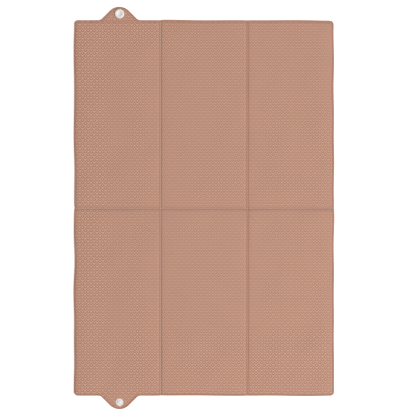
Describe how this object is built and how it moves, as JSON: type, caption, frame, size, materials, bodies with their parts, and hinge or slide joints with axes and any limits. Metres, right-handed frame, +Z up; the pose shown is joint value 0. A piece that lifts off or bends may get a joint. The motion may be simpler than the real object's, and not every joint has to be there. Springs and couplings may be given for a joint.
{
  "type": "folding changing mat",
  "caption": "Thin padded baby changing mat that folds in half and then in thirds, with a press stud on two tabs that holds the half fold closed.",
  "frame": {"origin": "on the table, under the centre of the open mat", "axes": "+X across the mat towards the column without tabs' far side, +Y along the mat towards the socket's tab, +Z up from the table"},
  "size_m": [0.45, 0.6964, 0.0042],
  "materials": {
    "front_fabric": "coated cotton, small diamond dot print, satin sheen",
    "back_fabric": "coated cotton, small diamond dot print, satin sheen",
    "wadding": "white polyester wadding",
    "stiff_tape": "woven stiffening tape",
    "snap_plastic": "moulded off-white press stud"
  },
  "bodies": {
    "lower_left": {"front_cover_lower_left": "front_fabric", "back_cover_lower_left": "back_fabric", "wadding_lower_left": "wadding", "tab_reinforcement_lower": "stiff_tape", "snap_stud": "snap_plastic", "snap_stud_cap": "snap_plastic"},
    "lower_middle": {"front_cover_lower_middle": "front_fabric", "back_cover_lower_middle": "back_fabric", "wadding_lower_middle": "wadding"},
    "lower_right": {"front_cover_lower_right": "front_fabric", "back_cover_lower_right": "back_fabric", "wadding_lower_right": "wadding"},
    "upper_left": {"front_cover_upper_left": "front_fabric", "back_cover_upper_left": "back_fabric", "wadding_upper_left": "wadding", "tab_reinforcement_upper": "stiff_tape", "snap_socket": "snap_plastic", "snap_socket_cap": "snap_plastic"},
    "upper_middle": {"front_cover_upper_middle": "front_fabric", "back_cover_upper_middle": "back_fabric", "wadding_upper_middle": "wadding"},
    "upper_right": {"front_cover_upper_right": "front_fabric", "back_cover_upper_right": "back_fabric", "wadding_upper_right": "wadding"}
  },
  "joints": [
    {"name": "left_fold", "type": "hinge", "parent": "lower_middle", "child": "lower_left", "pos_m": [-0.075, 0, 0.0117], "axis": [0, 1, 0], "range_deg": [0, 180]},
    {"name": "right_fold", "type": "hinge", "parent": "lower_middle", "child": "lower_right", "pos_m": [0.075, 0, 0.0077], "axis": [0, -1, 0], "range_deg": [0, 180]},
    {"name": "half_fold", "type": "hinge", "parent": "lower_middle", "child": "upper_middle", "pos_m": [0, 0, 0.0037], "axis": [1, 0, 0], "range_deg": [0, 180]},
    {"name": "half_fold_left", "type": "hinge", "parent": "lower_left", "child": "upper_left", "pos_m": [-0.15, 0, 0.0037], "axis": [1, 0, 0], "range_deg": [0, 180]},
    {"name": "half_fold_right", "type": "hinge", "parent": "lower_right", "child": "upper_right", "pos_m": [0.15, 0, 0.0037], "axis": [1, 0, 0], "range_deg": [0, 180]}
  ],
  "couplings": [
    {"joint": "half_fold_left", "follows": "half_fold", "ratio": 1},
    {"joint": "half_fold_right", "follows": "half_fold", "ratio": 1}
  ]
}
